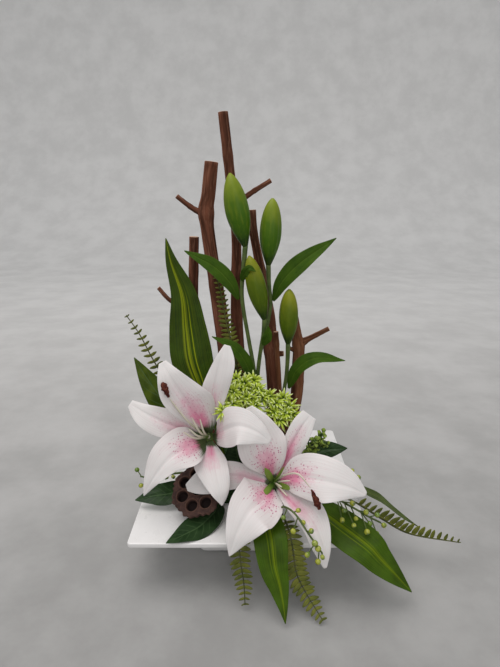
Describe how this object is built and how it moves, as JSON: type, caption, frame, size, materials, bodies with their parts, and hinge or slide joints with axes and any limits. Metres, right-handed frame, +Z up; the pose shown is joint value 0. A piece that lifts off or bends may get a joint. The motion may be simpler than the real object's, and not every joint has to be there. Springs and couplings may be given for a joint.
{
  "type": "flower arrangement",
  "caption": "Ikebana arrangement of cut branches, lilies and buds, fern fronds, striped and dark leaves, berries and a lotus pod in a square wide-rimmed white bowl.",
  "frame": {"origin": "centre of the bowl's underside, on the table", "axes": "+Z up out of the bowl, along the branches; -Y towards the front of the arrangement, where the flowers face; +X to its right"},
  "size_m": [0.3766, 0.2915, 0.4906],
  "materials": {
    "white_glaze": "gloss",
    "floral_foam": "matte",
    "branch_bark": "matte",
    "bud_green": "satin",
    "stem_green": "satin",
    "leaf_green": "satin",
    "striped_leaf": "satin",
    "dark_leaf": "satin",
    "fern_green": "matte",
    "petal_white": "satin",
    "stamen_green": "satin",
    "anther_brown": "matte",
    "pod_brown": "matte",
    "berry_green": "gloss",
    "star_lime": "satin",
    "box_green": "satin"
  },
  "bodies": {
    "root": {"berries_front": "berry_green", "berries_left": "berry_green", "berries_right": "berry_green", "bowl": "white_glaze", "box_sprig": "box_green", "branch_middle": "branch_bark", "branch_right": "branch_bark", "branch_short_left": "branch_bark", "branch_tall": "branch_bark", "branch_thick": "branch_bark", "branch_thin": "branch_bark", "broad_leaf_left": "dark_leaf", "bud_1": "bud_green", "bud_2": "bud_green", "bud_3": "bud_green", "bud_4": "bud_green", "bud_bract": "leaf_green", "bud_leaf_left": "leaf_green", "bud_leaf_low_left": "leaf_green", "bud_leaf_low_right": "leaf_green", "bud_leaf_right": "leaf_green", "bud_sheath_leaf": "leaf_green", "bud_single_stem": "stem_green", "bud_spray_stem": "stem_green", "dark_leaf_front": "dark_leaf", "dark_leaf_front_left": "dark_leaf", "dark_leaf_middle": "dark_leaf", "dark_leaf_right": "dark_leaf", "fern_front_left": "fern_green", "fern_front_right": "fern_green", "fern_middle": "fern_green", "fern_right": "fern_green", "fern_upper_left": "fern_green", "foam_block": "floral_foam", "lily1_anther": "anther_brown", "lily1_petal_bottom": "petal_white", "lily1_petal_left": "petal_white", "lily1_petal_lower_left": "petal_white", "lily1_petal_right": "petal_white", "lily1_petal_top": "petal_white", "lily1_petal_upper_left": "petal_white", "lily1_stamens": "stamen_green", "lily1_stem": "stem_green", "lily2_anther": "anther_brown", "lily2_petal_left": "petal_white", "lily2_petal_lower_left": "petal_white", "lily2_petal_lower_right": "petal_white", "lily2_petal_right": "petal_white", "lily2_petal_top": "petal_white", "lily2_petal_upper_left": "petal_white", "lily2_stamens": "stamen_green", "lily2_stem": "stem_green", "lotus_pod": "pod_brown", "narrow_leaf_right": "striped_leaf", "star_flowers_left": "star_lime", "star_flowers_middle": "star_lime", "star_flowers_right": "star_lime", "striped_leaf_front": "striped_leaf", "striped_leaf_right": "striped_leaf", "striped_leaf_upright": "striped_leaf"}
  },
  "joints": []
}
